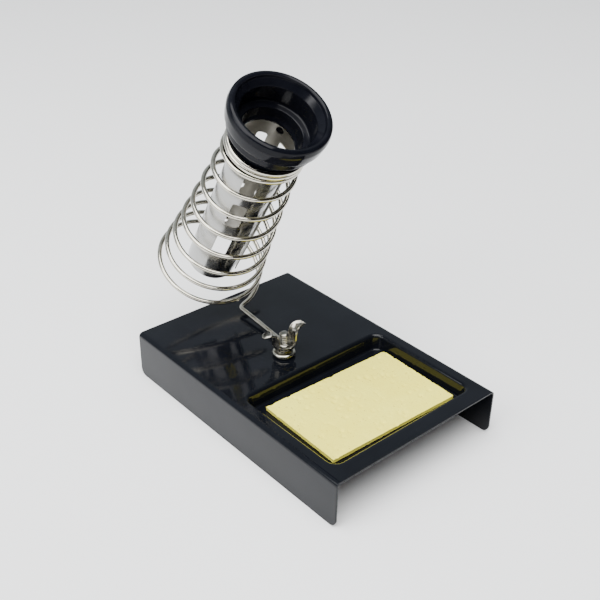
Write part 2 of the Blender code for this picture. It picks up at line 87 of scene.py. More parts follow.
# Clamp hardware, with a No. 10-24 thread.
STUD_RADIUS = 2.41 * MM
THREAD_ROOT = 1.78 * MM
THREAD_PITCH = 1.058 * MM
BORE_RADIUS = 2.6 * MM
NUT_TURN = math.radians(-5.5)
NUT_CUP_RADIUS = 5.2 * MM
NUT_SHEET = 0.75 * MM
WING_LINE = ((4.5, 0.5, 3.0), (5.4, 1.7, 3.2), (5.75, 3.5, 3.25), (5.95, 5.5, 3.2),
             (6.35, 7.2, 3.1), (7.3, 8.35, 2.9), (8.7, 8.9, 2.55), (10.1, 9.0, 2.05),
             (11.3, 8.95, 1.35), (12.1, 8.95, 0.5))  # reach, rise, half width in mm

# Wire holder.
WIRE_RADIUS = 1.15 * MM
EYE_RADIUS = 4.6 * MM
EYE_OPENING = math.radians(62)
BEND_RADIUS = 3.0 * MM
COIL_FOOT = Vector((4.0 * MM, 64.8 * MM, 47.1 * MM))
COIL_TILT = math.radians(58.3)
COIL_LEAN = math.radians(-3.5)
COIL_PHASE = math.radians(9.6)
COIL_FOOT_RADIUS = 27.0 * MM
COIL_NECK_RADIUS = 18.05 * MM
COIL_WAIST = 0.5
COIL_START = -5.6 * MM
NECK_STATION = 93.0 * MM
PITCH_MEAN = 12.5 * MM
PITCH_SWELL = 1.65 * MM
PITCH_EASE = 2.4 * MM
PITCH_CLOSE = 2.45 * MM
SWELL_START = 1.2
SWELL_TURNS = 8.6
OPEN_TURNS = 7.9
COIL_TURNS = 10.15
STEPS_PER_TURN = 96

# Funnel and heat tube, as distances along the coil's axis.
FUNNEL_BOTTOM = 89.5 * MM
FUNNEL_SEAT = 97.6 * MM
FUNNEL_THROAT = 98.6 * MM
FUNNEL_STEP = 104.5 * MM
FUNNEL_LIP_BOTTOM = 109.2 * MM
FUNNEL_COLLAR = 21.2 * MM
FUNNEL_COLLAR_BOTTOM = 103.9 * MM
FUNNEL_EDGE = 114.4 * MM
FUNNEL_TOP = 118.6 * MM
FUNNEL_RADIUS = 23.95 * MM
FUNNEL_CAVITY = 17.7 * MM
FUNNEL_HOLE = 12.7 * MM
FUNNEL_BORE = 14.9 * MM
FUNNEL_CREST = 21.8 * MM
TUBE_BOTTOM = 4.0 * MM
TUBE_TOP = 97.3 * MM
TUBE_SHEET = 0.5 * MM
TUBE_BOTTOM_RADIUS = 11.9 * MM
TUBE_TOP_RADIUS = 13.1 * MM
TUBE_ROLL = 1.15 * MM
SEAM_ANGLE = math.radians(40)
TUBE_WRAP = math.radians(370)
SLOT_WIDTH = 7.2 * MM
SLOT_LENGTH = 16.6 * MM
SLOT_CORNER = 2.0 * MM
WINDOW_WIDTH = 5.0 * MM
WINDOW_LENGTH = 9.0 * MM
WINDOW_CORNER = 1.4 * MM
WINDOW_STATION = 84.5 * MM
SLOT_STATIONS = (33.0 * MM, 57.5 * MM, 82.0 * MM)
BACK_HOLE_LENGTH = 5.0 * MM
BACK_HOLE_STATIONS = (22.3 * MM, 50.9 * MM)
NOTCH_WIDTH = 12.4 * MM
NOTCH_LENGTH = 12.0 * MM  # half of it is past the tube's lower end
NOTCH_ANGLE = math.radians(121)
SLOT_ANGLES = (math.radians(316), math.radians(146), math.radians(97))
FIXING_HOLE_RADIUS = 2.0 * MM
FIXING_HOLE_STATION = 94.2 * MM
FIXING_HOLE_ANGLE = math.radians(117.5)

# Camera, as angles round the base and a distance.
CAMERA_AZIMUTH = math.radians(-41.49)
CAMERA_ELEVATION = math.radians(30.87)
CAMERA_ROLL = math.radians(1.02)
CAMERA_DISTANCE = 476.8 * MM
CAMERA_RIGHT = -4.2 * MM
CAMERA_UP = 50.4 * MM
CAMERA_LENS = 57.48
CAMERA_SENSOR = 36.0


# ---------------------------------------------------------------- mesh helpers

def finish_mesh(name, bm, smooth_angle=math.radians(35)):
    bmesh.ops.recalc_face_normals(bm, faces=bm.faces)
    mesh = bpy.data.meshes.new(name)
    bm.to_mesh(mesh)
    bm.free()
    mesh.shade_smooth()
    mesh.set_sharp_from_angle(angle=smooth_angle)
    return mesh


def add_object(name, mesh, place=None):
    obj = bpy.data.objects.new(name, mesh)
    bpy.context.collection.objects.link(obj)
    if place is not None:
        obj.matrix_world = place
    return obj


def bake(obj, smooth_angle=math.radians(35)):
    """Apply an object's modifiers and its place, so that its mesh is in the frame."""
    bpy.context.view_layer.update()
    graph = bpy.context.evaluated_depsgraph_get()
    mesh = bpy.data.meshes.new_from_object(obj.evaluated_get(graph))
    mesh.transform(obj.matrix_world)
    mesh.name = obj.name
    obj.modifiers.clear()
    obj.data = mesh
    obj.matrix_world = Matrix.Identity(4)
    mesh.shade_smooth()
    mesh.set_sharp_from_angle(angle=smooth_angle)
    return obj


def add_boolean(target, cutter, operation):
    modifier = target.modifiers.new(cutter.name, "BOOLEAN")
    modifier.operation = operation
    modifier.object = cutter
    modifier.solver = "EXACT"


def remove(*objects):
    for obj in objects:
        bpy.data.objects.remove(obj, do_unlink=True)


def add_bevel(obj, width, segments=2, angle=math.radians(40)):
    modifier = obj.modifiers.new("edges", "BEVEL")
    modifier.width = width
    modifier.segments = segments
    modifier.limit_method = "ANGLE"
    modifier.angle_limit = angle
    modifier.harden_normals = False


def add_weighted_normals(obj):
    modifier = obj.modifiers.new("normals", "WEIGHTED_NORMAL")
    modifier.keep_sharp = True
    modifier.weight = 60


def turned_mesh(name, outline, segments, smooth_angle=math.radians(35)):
    """Turn an outline of (radius, height) round Z; U runs round it and V along it."""
    bm = bmesh.new()
    uv = bm.loops.layers.uv.new("UVMap")
    closed_outline = min(radius for radius, _ in outline) > 0.0
    profile = list(outline) + [outline[0]] if closed_outline else list(outline)
    travel = [0.0]
    for before, after in zip(profile, profile[1:]):
        travel.append(travel[-1] + math.dist(before, after) / MM)
    columns = []
    for i in range(segments):
        angle = math.tau * i / segments
        column = []
        for j, (radius, height) in enumerate(outline):
            if radius == 0.0 and columns:
                column.append(columns[0][j])
            else:
                column.append(bm.verts.new((radius * math.cos(angle),
                                            radius * math.sin(angle), height)))
        columns.append(column)
    count = len(profile)
    for i in range(segments):
        left, right = columns[i], columns[(i + 1) % segments]
        for j in range(count - 1):
            k = (j + 1) % len(outline)
            corners = [(left[j], i, j), (right[j], i + 1, j),
                       (right[k], i + 1, j + 1), (left[k], i, j + 1)]
            unique = []
            for corner in corners:
                if corner[0] not in [known[0] for known in unique]:
                    unique.append(corner)
            if len(unique) < 3:
                continue
            face = bm.faces.new([corner[0] for corner in unique])
            for loop, (_, column, row) in zip(face.loops, unique):
                loop[uv].uv = (column / segments, travel[row])
    return finish_mesh(name, bm, smooth_angle)


def lofted_mesh(name, rings, smooth_angle=math.radians(35)):
    """Join closed rings of equal length, first to last, and cap both ends."""
    bm = bmesh.new()
    loops = [[bm.verts.new(point) for point in ring] for ring in rings]
    count = len(loops[0])
    for lower, upper in zip(loops, loops[1:]):
        for i in range(count):
            j = (i + 1) % count
            bm.faces.new((lower[i], lower[j], upper[j], upper[i]))
    bm.faces.new(loops[0])
    bm.faces.new(loops[-1])
    return finish_mesh(name, bm, smooth_angle)


def arc(centre, radius, start, end, steps):
    """Points on a circle in a plane, both ends included."""
    points = []
    for i in range(steps + 1):
        angle = start + (end - start) * i / steps
        points.append((centre[0] + radius * math.cos(angle),
                       centre[1] + radius * math.sin(angle)))
    return points


def rounded_rectangle(half_x, half_y, radius, steps=12):
    points = []
    corners = ((1, 1), (-1, 1), (-1, -1), (1, -1))
    for i, (sx, sy) in enumerate(corners):
        centre = (sx * (half_x - radius), sy * (half_y - radius))
        start = i * math.pi / 2
        points += arc(centre, radius, start, start + math.pi / 2, steps)
    return points


def rounded_outline(corners, steps=5):
    """A closed outline whose (x, y, radius) corners are replaced by arcs."""
    points = []
    count = len(corners)
    for i, (x, y, radius) in enumerate(corners):
        here = Vector((x, y))
        to_before = Vector(corners[i - 1][:2]) - here
        to_after = Vector(corners[(i + 1) % count][:2]) - here
        half = to_before.angle(to_after) / 2
        room = 0.49 * min(to_before.length, to_after.length)
        reach = min(radius / math.tan(half), room)
        radius = reach * math.tan(half)
        if radius < 0.01 * MM or half > math.radians(88):
            points.append((x, y))
            continue
        bisector = (to_before.normalized() + to_after.normalized()).normalized()
        centre = here + bisector * radius / math.sin(half)
        start = here + to_before.normalized() * reach - centre
        end = here + to_after.normalized() * reach - centre
        for j in range(steps + 1):
            spoke = start.lerp(end, j / steps).normalized() * radius
            points.append(tuple(centre + spoke))
    return points


def smooth_step(value):
    value = min(1.0, max(0.0, value))
    return value * value * (3 - 2 * value)


# ---------------------------------------------------------------- material helpers

class Shading:
    """A material's node tree, with short calls to add nodes and to join them."""

    def __init__(self, name):
        self.material = bpy.data.materials.new(name)
        self.material.use_nodes = True
        self.tree = self.material.node_tree
        self.shader = self.tree.nodes["Principled BSDF"]

    def put(self, socket, value):
        if isinstance(value, bpy.types.NodeSocket):
            self.tree.links.new(value, socket)
        else:
            socket.default_value = value

    def set(self, **values):
        """Set the shader's own sockets: base_color becomes Base Color."""
        names = {"ior": "IOR", "specular": "Specular IOR Level"}
        for key, value in values.items():
            name = names.get(key, key.replace("_", " ").title())
            self.put(self.shader.inputs[name], value)

    def add(self, kind, inputs=(), output=0, **settings):
        node = self.tree.nodes.new(kind)
        for key, value in settings.items():
            setattr(node, key, value)
        for name, value in dict(inputs).items():
            self.put(node.inputs[name], value)
        return node.outputs[output]

    def place(self, source="Object", scale=(1.0, 1.0, 1.0)):
        coordinates = self.tree.nodes.new("ShaderNodeTexCoord").outputs[source]
        return self.add("ShaderNodeMapping", {"Vector": coordinates, "Scale": scale})

    def noise(self, vector, scale, detail=3.0, roughness=0.5, distortion=0.0):
        return self.add("ShaderNodeTexNoise", {
            "Vector": vector, "Scale": scale, "Detail": detail,
            "Roughness": roughness, "Distortion": distortion})

    def span(self, value, low, high, to_low, to_high):
        """Map a range of values onto another, clamped."""
        return self.add("ShaderNodeMapRange", {
            "Value": value, "From Min": low, "From Max": high,
            "To Min": to_low, "To Max": to_high})

    def ramp(self, value, *stops):
        """Colours at positions from 0 to 1."""
        node = self.tree.nodes.new("ShaderNodeValToRGB")
        elements = node.color_ramp.elements
        while len(elements) < len(stops):
            elements.new(0.5)
        for element, (position, colour) in zip(elements, stops):
            element.position = position
            element.color = (*colour, 1.0)
        self.put(node.inputs["Fac"], value)
        return node.outputs["Color"]

    def math(self, operation, *values):
        node = self.tree.nodes.new("ShaderNodeMath")
        node.operation = operation
        for socket, value in zip(node.inputs, values):
            self.put(socket, value)
        return node.outputs[0]

    def bump(self, height, strength, distance, normal=None):
        inputs = {"Height": height, "Strength": strength, "Distance": distance}
        if normal is not None:
            inputs["Normal"] = normal
        return self.add("ShaderNodeBump", inputs)


# ---------------------------------------------------------------- materials

def black_enamel():
    """Stoved gloss enamel: slight orange peel, faint dust and handling haze."""
    s = Shading("black_enamel")
    at = s.place()
    haze = s.noise(at, 45.0, 4.0, 0.6)
    dust = s.noise(at, 2600.0, 2.0)
    shade = s.ramp(haze, (0.35, (0.0028, 0.0034, 0.0052)), (0.70, (0.0048, 0.0056, 0.0082)))
    speck = s.span(dust, 0.72, 0.80, 0.0, 0.06)
    rough = s.math("ADD", s.span(haze, 0.3, 0.75, 0.055, 0.095), speck)
    peel = s.noise(at, 420.0, 1.0)
    wave = s.noise(at, 26.0, 2.0, 0.4)
    normal = s.bump(wave, 0.22, 1.2 * MM)
    normal = s.bump(peel, 0.10, 0.05 * MM, normal)
    s.set(base_color=shade, roughness=rough, ior=1.5, specular=0.2, normal=normal)
    return s.material


def cellulose():
    """Dry compressed sponge: matt, closely pored, with tan specks and dark pits."""
    s = Shading("cellulose")
    at = s.place()
    broad = s.noise(at, 60.0, 3.0, 0.6)
    grain = s.noise(at, 1500.0, 4.0, 0.7)
    pores = s.add("ShaderNodeTexVoronoi", {"Vector": at, "Scale": 620.0, "Randomness": 1.0})
    specks = s.noise(at, 900.0, 1.0)
    body = s.ramp(broad, (0.30, (0.940, 0.850, 0.110)), (0.72, (0.975, 0.910, 0.150)))
    toned = s.add("ShaderNodeMixRGB", {
        "Fac": s.span(grain, 0.42, 0.75, 0.0, 0.55), "Color1": body,
        "Color2": (0.820, 0.700, 0.100, 1.0)})
    spotted = s.add("ShaderNodeMixRGB", {
        "Fac": s.span(specks, 0.70, 0.78, 0.0, 0.60), "Color1": toned,
        "Color2": (0.380, 0.270, 0.050, 1.0)})
    normal = s.bump(grain, 0.55, 0.16 * MM)
    normal = s.bump(s.span(pores, 0.0, 0.45, 0.0, 1.0), 0.30, 0.10 * MM, normal)
    s.set(base_color=spotted, roughness=0.93, specular=0.22, normal=normal)
    return s.material


def nickel_wire():
    """Drawn wire, nickel plated: fine die lines along it and slight cloudiness."""
    s = Shading("nickel_wire")
    along = s.place("UV", (0.05, 9.0, 1.0))
    lines = s.noise(along, 6.0, 3.0, 0.6)
    cloud = s.noise(s.place(), 160.0, 3.0, 0.6)
    shade = s.ramp(cloud, (0.30, (0.430, 0.405, 0.335)), (0.70, (0.600, 0.575, 0.500)))
    rough = s.math("ADD", s.span(cloud, 0.3, 0.75, 0.06, 0.14),
                   s.span(lines, 0.45, 0.80, 0.0, 0.10))
    normal = s.bump(lines, 0.10, 0.02 * MM)
    s.set(base_color=shade, metallic=1.0, roughness=rough, normal=normal)
    return s.material


def plated_hardware():
    """Pressed and rolled parts, bright plated: mottled, with fine handling marks."""
    s = Shading("plated_hardware")
    at = s.place()
    mottle = s.noise(at, 420.0, 4.0, 0.65)
    marks = s.noise(s.place(scale=(1.0, 6.0, 1.5)), 900.0, 3.0, 0.7, 0.6)
    shade = s.ramp(mottle, (0.30, (0.200, 0.188, 0.155)), (0.72, (0.390, 0.375, 0.330)))
    rough = s.math("ADD", s.span(mottle, 0.3, 0.75, 0.16, 0.30),
                   s.span(marks, 0.5, 0.8, 0.0, 0.12))
    normal = s.bump(marks, 0.16, 0.03 * MM)
    s.set(base_color=shade, metallic=1.0, roughness=rough, normal=normal)
    return s.material


def bright_sheet():
    """Rolled bright sheet: faint rolling lines round it, smudges and a warm tint."""
    s = Shading("bright_sheet")
    at = s.place()
    rolled = s.noise(s.place("UV", (1.5, 26.0, 1.0)), 1.0, 4.0, 0.6)
    smudge = s.noise(at, 70.0, 4.0, 0.6, 0.4)
    shade = s.ramp(smudge, (0.32, (0.350, 0.345, 0.330)), (0.55, (0.400, 0.400, 0.392)),
                   (0.75, (0.440, 0.445, 0.445)))
    rough = s.math("ADD", s.span(smudge, 0.3, 0.75, 0.13, 0.26),
                   s.span(rolled, 0.45, 0.8, 0.0, 0.08))
    dents = s.noise(at, 95.0, 1.0)
    normal = s.bump(dents, 0.02, 0.5 * MM)
    normal = s.bump(rolled, 0.08, 0.02 * MM, normal)
    s.set(base_color=shade, metallic=1.0, roughness=rough, normal=normal)
    return s.material


def stained_sheet():
    """The inside of the tube, dulled by heat and flux: warm grey, with darker patches."""
    s = Shading("stained_sheet")
    at = s.place()
    patch = s.noise(at, 110.0, 4.0, 0.6, 0.5)
    fine = s.noise(at, 1400.0, 3.0, 0.6)
    shade = s.ramp(patch, (0.30, (0.300, 0.285, 0.245)), (0.72, (0.440, 0.425, 0.385)))
    rough = s.span(patch, 0.3, 0.75, 0.42, 0.30)
    normal = s.bump(fine, 0.15, 0.03 * MM)
    s.set(base_color=shade, metallic=0.85, roughness=rough, normal=normal)
    return s.material


def black_moulding():
    """Glossy phenolic moulding: deep gloss with faint turning marks and dust."""
    s = Shading("black_moulding")
    at = s.place()
    haze = s.noise(at, 90.0, 3.0, 0.6)
    dust = s.noise(at, 2200.0, 2.0)
    turning = s.noise(s.place("UV", (2.0, 2.2, 1.0)), 1.0, 3.0)
    shade = s.ramp(haze, (0.35, (0.0030, 0.0034, 0.0054)), (0.70, (0.0052, 0.0056, 0.0084)))
    rough = s.math("ADD", s.span(haze, 0.3, 0.75, 0.07, 0.16),
                   s.span(dust, 0.70, 0.80, 0.0, 0.15))
    normal = s.bump(turning, 0.05, 0.06 * MM)
    s.set(base_color=shade, roughness=rough, ior=1.54, specular=0.10, normal=normal)
    return s.material


def show(obj, material, body, node):
    """Give a piece its material, hang it under its body and hide the node that it stands for."""
    obj.data.materials.clear()
    obj.data.materials.append(material)
    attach(obj, body)
    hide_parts(node)
    return obj


# ---------------------------------------------------------------- base

def base_channel_mesh():
    half = (BASE_HIGH.x - BASE_LOW.x) / 2
    inner_radius = FOLD_RADIUS - SHEET
    top = DECK - FOLD_RADIUS
    side = half - FOLD_RADIUS
    steps = 12
    outline = [(half, 0.0)]
    outline += arc((side, top), FOLD_RADIUS, 0.0, math.pi / 2, steps)
    outline += arc((-side, top), FOLD_RADIUS, math.pi / 2, math.pi, steps)
    outline += [(-half, 0.0), (-half + SHEET, 0.0)]
    outline += arc((-side, top), inner_radius, math.pi, math.pi / 2, steps)
    outline += arc((side, top), inner_radius, math.pi / 2, 0.0, steps)
    outline += [(half - SHEET, 0.0)]
    rings = [[(x, y, z) for x, z in outline] for y in (BASE_LOW.y, BASE_HIGH.y)]
    mesh = lofted_mesh("base_shell", rings)
    bm = bmesh.new()
    bm.from_mesh(mesh)
    corners = [edge for edge in bm.edges if is_flange_corner(edge)]
    bmesh.ops.bevel(bm, geom=corners, offset=FLANGE_CORNER, segments=10,
                    profile=0.5, affect="EDGES")
    bm.to_mesh(mesh)
    bm.free()
    return mesh


def is_flange_corner(edge):
    along_x = abs(edge.verts[0].co.y - edge.verts[1].co.y) < SHEET / 2
    return along_x and all(vert.co.z < SHEET / 2 for vert in edge.verts)


def tray_profile(offset):
    """(inset, depth) of the pressed tray's skin, `offset` below the outer skin."""
    rim = TRAY_RIM_RADIUS - offset
    floor = TRAY_FLOOR_RADIUS + offset
    wall_sin = math.sin(TRAY_WALL_ANGLE)
    wall_cos = math.cos(TRAY_WALL_ANGLE)
    steps = 8
    points = []
    for i in range(steps + 1):
        angle = TRAY_WALL_ANGLE * i / steps
        points.append((rim * math.sin(angle), TRAY_RIM_RADIUS - rim * math.cos(angle)))
    wall_top = TRAY_RIM_RADIUS * (1 - wall_cos)
    wall_bottom = TRAY_DEPTH - TRAY_FLOOR_RADIUS * (1 - wall_cos)
    run = (wall_bottom - wall_top) * wall_cos / wall_sin
    centre = (TRAY_RIM_RADIUS + TRAY_FLOOR_RADIUS) * wall_sin + run
    for i in range(steps + 1):
        angle = TRAY_WALL_ANGLE * (steps - i) / steps
        points.append((centre - floor * math.sin(angle),
                       TRAY_DEPTH - TRAY_FLOOR_RADIUS + floor * math.cos(angle)))
    return points


def tray_block(name, offset, top_depth):
    profile = tray_profile(offset)
    profile.insert(0, (profile[0][0], top_depth))
    rings = []
    for inset, depth in profile:
        ring = rounded_rectangle(TRAY_WIDTH / 2 - inset, TRAY_LENGTH / 2 - inset,
                                 TRAY_CORNER - inset)
        rings.append([(x, y, -depth) for x, y in ring])
    centre_y = BASE_LOW.y + TRAY_FRONT_MARGIN + TRAY_LENGTH / 2
    place = Matrix.Translation((BASE_CENTRE.x, centre_y, DECK))
    return add_object(name, lofted_mesh(name, rings), place)


def build_base():
    base = add_object("base_shell", base_channel_mesh())
    shell = tray_block("tray_shell", SHEET, SHEET / 2)
    space = tray_block("tray_space", 0.0, -SHEET)
    reach = 3 * SHEET
    outline = [(0.0, -reach), (BORE_RADIUS, -reach), (BORE_RADIUS, reach), (0.0, reach)]
    hole = add_object("stud_hole", turned_mesh("stud_hole", outline, 48),
                      Matrix.Translation((STUD.x, STUD.y, DECK)))
    add_boolean(base, shell, "UNION")
    add_boolean(base, space, "DIFFERENCE")
    add_boolean(base, hole, "DIFFERENCE")
    add_bevel(base, EDGE_ROUND, 3, math.radians(50))
    bake(base, math.radians(50))
    remove(shell, space, hole)
    add_weighted_normals(base)
    return show(base, black_enamel(), "base", "base_plate")


# ---------------------------------------------------------------- sponge

def sponge_pits(draw):
    """Open cells cut through by the blade: (x, y, radius, depth)."""
    pits = []
    for _ in range(330):
        x = draw.uniform(-0.5, 0.5) * SPONGE_WIDTH
        y = draw.uniform(-0.5, 0.5) * SPONGE_LENGTH
        size = draw.uniform(0.0, 1.0) ** 3
        pits.append((x, y, (0.35 + 0.9 * size) * MM, (0.12 + 0.5 * size) * MM))
    return pits


def ragged(position, seed, amount):
    """How far a cut edge wanders in at a place along it: a wave with torn nicks."""
    wave = noise.noise(Vector((position / (7.0 * MM), seed, 0.0))) * 0.12 * MM
    tear = noise.noise(Vector((position / (1.3 * MM), seed + 9.0, 0.0)))
    return wave + amount * max(0.0, tear - 0.18)


def sponge_top():
    """Grid of points over the sponge's upper face, with pits and uneven cut edges."""
    draw = random.Random(11)
    columns = round(SPONGE_WIDTH / SPONGE_CELL)
    rows = round(SPONGE_LENGTH / SPONGE_CELL)
    pits = np.array(sponge_pits(draw))
    thickness = SPONGE_HIGH.z - SPONGE_LOW.z
    grid = []
    for j in range(rows + 1):
        line = []
        for i in range(columns + 1):
            u = 2 * i / columns - 1
            v = 2 * j / rows - 1
            x = u * SPONGE_WIDTH / 2
            y = v * SPONGE_LENGTH / 2
            right = ragged(y, 3.0, 1.6 * MM) * smooth_step((u - 0.97) / 0.03)
            left = ragged(y, 14.0, 0.3 * MM) * smooth_step((-u - 0.97) / 0.03)
            back = ragged(x, 25.0, 0.35 * MM) * smooth_step((v - 0.96) / 0.04)
            front = ragged(x, 36.0, 0.3 * MM) * smooth_step((-v - 0.96) / 0.04)
            distance = np.hypot(pits[:, 0] - x, pits[:, 1] - y) / pits[:, 2]
            sink = float((pits[:, 3] * np.exp(-distance ** 4)).max())
            swell = noise.noise(Vector((x / (9.0 * MM), y / (9.0 * MM), 1.0)))
            grain = noise.noise(Vector((x / (0.9 * MM), y / (0.9 * MM), 5.0)))
            z = thickness - sink - (0.06 * (1 - swell) + 0.03 * (1 - grain)) * MM
            line.append(Vector((x - max(right, 0) + max(left, 0),
                                y - max(back, 0) + max(front, 0), z)))
        grid.append(line)
    return grid


def build_sponge():
    grid = sponge_top()
    bm = bmesh.new()
    top = [[bm.verts.new(point) for point in line] for line in grid]
    for lower, upper in zip(top, top[1:]):
        for i in range(len(lower) - 1):
            bm.faces.new((lower[i], lower[i + 1], upper[i + 1], upper[i]))
    rim = list(top[0]) + [line[-1] for line in top[1:-1]]
    rim += list(reversed(top[-1])) + [line[0] for line in reversed(top[1:-1])]
    middle = Vector((0.0, 0.0, 0.0))
    loops = [rim]
    for level in (0.72, 0.42, 0.15, 0.0):
        loop = []
        for vert in rim:
            point = vert.co.copy()
            point.z *= level
            outward = (Vector((point.x, point.y, 0.0)) - middle).normalized()
            rough = noise.noise(point / (0.8 * MM) + Vector((0.0, 0.0, level * 7)))
            point -= outward * (0.05 + 0.09 * (1 + rough)) * MM
            loop.append(bm.verts.new(point))
        loops.append(loop)
    for upper, lower in zip(loops, loops[1:]):
        for i in range(len(rim)):
            j = (i + 1) % len(rim)
            bm.faces.new((upper[i], upper[j], lower[j], lower[i]))
    bm.faces.new(loops[-1])
    mesh = finish_mesh("cleaning_sponge", bm, math.radians(60))
    centre = (SPONGE_LOW + SPONGE_HIGH) / 2
    place = Matrix.Translation((centre.x, centre.y, SPONGE_LOW.z))
    place @= Matrix.Rotation(SPONGE_TURN, 4, "Z")
    sponge = add_object("cleaning_sponge", mesh, place)
    bake(sponge, math.radians(60))
    show(sponge, cellulose(), "sponge", "sponge")
    return sponge


# ---------------------------------------------------------------- clamp hardware

def thread_radius(angle, height, crest, root):
    """Radius of a right-handed thread's skin, with narrow flats on the crests."""
    phase = height / THREAD_PITCH - angle / math.tau
    ridge = 0.5 + 0.5 * math.cos(math.tau * phase)
    return root + (crest - root) * min(1.0, max(0.0, 1.25 * ridge - 0.12))


def screw_mesh():
    top = SCREW_HIGH.z
    head_top = HEAD_WASHER_LOW.z - 0.05 * MM
    head_bottom = SCREW_LOW.z
    head_radius = (SCREW_HIGH.x - SCREW_LOW.x) / 2
    sides = 56
    chamfer = 0.75 * MM
    levels = [(0.0, head_bottom), (head_radius * 0.45, head_bottom + 0.05 * MM),
              (head_radius * 0.72, head_bottom + 0.35 * MM),
              (head_radius * 0.9, head_bottom + 0.85 * MM),
              (head_radius * 0.985, head_bottom + 1.6 * MM),
              (head_radius, head_bottom + 2.2 * MM), (head_radius, head_top - 0.15 * MM),
              (head_radius - 0.15 * MM, head_top), (STUD_RADIUS + 0.2 * MM, head_top),
              (STUD_RADIUS, head_top + 0.2 * MM)]
    threaded = [head_top + 0.6 * MM]
    while threaded[-1] < top - 0.12 * MM:
        threaded.append(threaded[-1] + THREAD_PITCH / 9)
    bm = bmesh.new()
    rings = []
    for radius, height in levels[1:]:
        rings.append([(radius * math.cos(math.tau * i / sides),
                       radius * math.sin(math.tau * i / sides), height)
                      for i in range(sides)])
    for height in threaded:
        ring = []
        for i in range(sides):
            angle = math.tau * i / sides
            radius = thread_radius(angle, height, STUD_RADIUS, THREAD_ROOT)
            radius = min(radius, STUD_RADIUS - chamfer + (top - height) * 1.15)
            ring.append((radius * math.cos(angle), radius * math.sin(angle), height))
        rings.append(ring)
    loops = [[bm.verts.new(point) for point in ring] for ring in rings]
    for lower, upper in zip(loops, loops[1:]):
        for i in range(sides):
            j = (i + 1) % sides
            bm.faces.new((lower[i], lower[j], upper[j], upper[i]))
    for loop, height in ((loops[0], levels[0][1]), (loops[-1], top)):
        tip = bm.verts.new((0.0, 0.0, height))
        for i in range(sides):
            bm.faces.new((loop[i], loop[(i + 1) % sides], tip))
    return finish_mesh("clamp_bolt", bm, math.radians(50))


def recess_block(name, turn):
    rings = []
    depth = 1.8 * MM
    for height, share in ((-depth, 1.6), (depth, 0.4)):
        half_x = 2.4 * MM * share
        half_y = 0.55 * MM
        rings.append([(half_x, half_y, height), (-half_x, half_y, height),
                      (-half_x, -half_y, height), (half_x, -half_y, height)])
    place = Matrix.Translation((STUD.x, STUD.y, SCREW_LOW.z))
    return add_object(name, lofted_mesh(name, rings), place @ Matrix.Rotation(turn, 4, "Z"))


def build_screw(material):
    screw = add_object("clamp_bolt", screw_mesh(), Matrix.Translation(STUD))
    arms = [recess_block(f"recess_{i}", i * math.pi / 2) for i in range(2)]
    for arm in arms:
        add_boolean(screw, arm, "DIFFERENCE")
    bake(screw, math.radians(50))
    remove(*arms)
    return show(screw, material, "base", "clamp_screw")


def build_head_washer(material):
    low, high = HEAD_WASHER_LOW, HEAD_WASHER_HIGH
    radius = (high.x - low.x) / 2
    soft = 0.18 * MM
    outline = rounded_outline([(BORE_RADIUS, low.z, soft), (radius, low.z, soft),
                               (radius, high.z, 2 * soft), (BORE_RADIUS, high.z, soft)])
    washer = add_object("plain_washer", turned_mesh("plain_washer", outline, 96),
                        Matrix.Translation(STUD))
    bake(washer)
    return show(washer, material, "base", "head_washer")


def build_lock_washer(material):
    """Split spring washer: square section, slanted cut, ends sprung slightly apart."""
    low, high = LOCK_LOW.z, LOCK_HIGH.z
    outer = (LOCK_HIGH.x - LOCK_LOW.x) / 2
    bore = BORE_RADIUS + 0.12 * MM
    slant = math.radians(14)
    steps = 96
    section = rounded_outline([(bore, low, 0.12 * MM), (outer, low, 0.12 * MM),
                               (outer, high, 0.12 * MM), (bore, high, 0.12 * MM)], 3)
    rings = []
    for i in range(steps + 1):
        share = i / steps
        ring = []
        for radius, height in section:
            turn = slant * (height - low) / (high - low)
            angle = turn + (math.tau - slant) * share
            ring.append((radius * math.cos(angle), radius * math.sin(angle), height))
        rings.append(ring)
    washer = add_object("spring_washer", lofted_mesh("spring_washer", rings),
                        Matrix.Translation(STUD))
    bake(washer)
    return show(washer, material, "washer", "lock_washer")


def along_wing(reach):
    """The wing's rise and half width at a distance along its line, from 0 to 1."""
    place = reach * (len(WING_LINE) - 1)
    i = min(len(WING_LINE) - 2, int(place))
    points = [Vector(WING_LINE[min(max(k, 0), len(WING_LINE) - 1)]) for k in range(i - 1, i + 3)]
    t = place - i
    a, b, c, d = points
    smooth = b * 2 + (c - a) * t + (a * 2 - b * 5 + c * 4 - d) * t * t
    smooth += (b * 3 - a - c * 3 + d) * t * t * t
    return smooth * 0.5 * MM


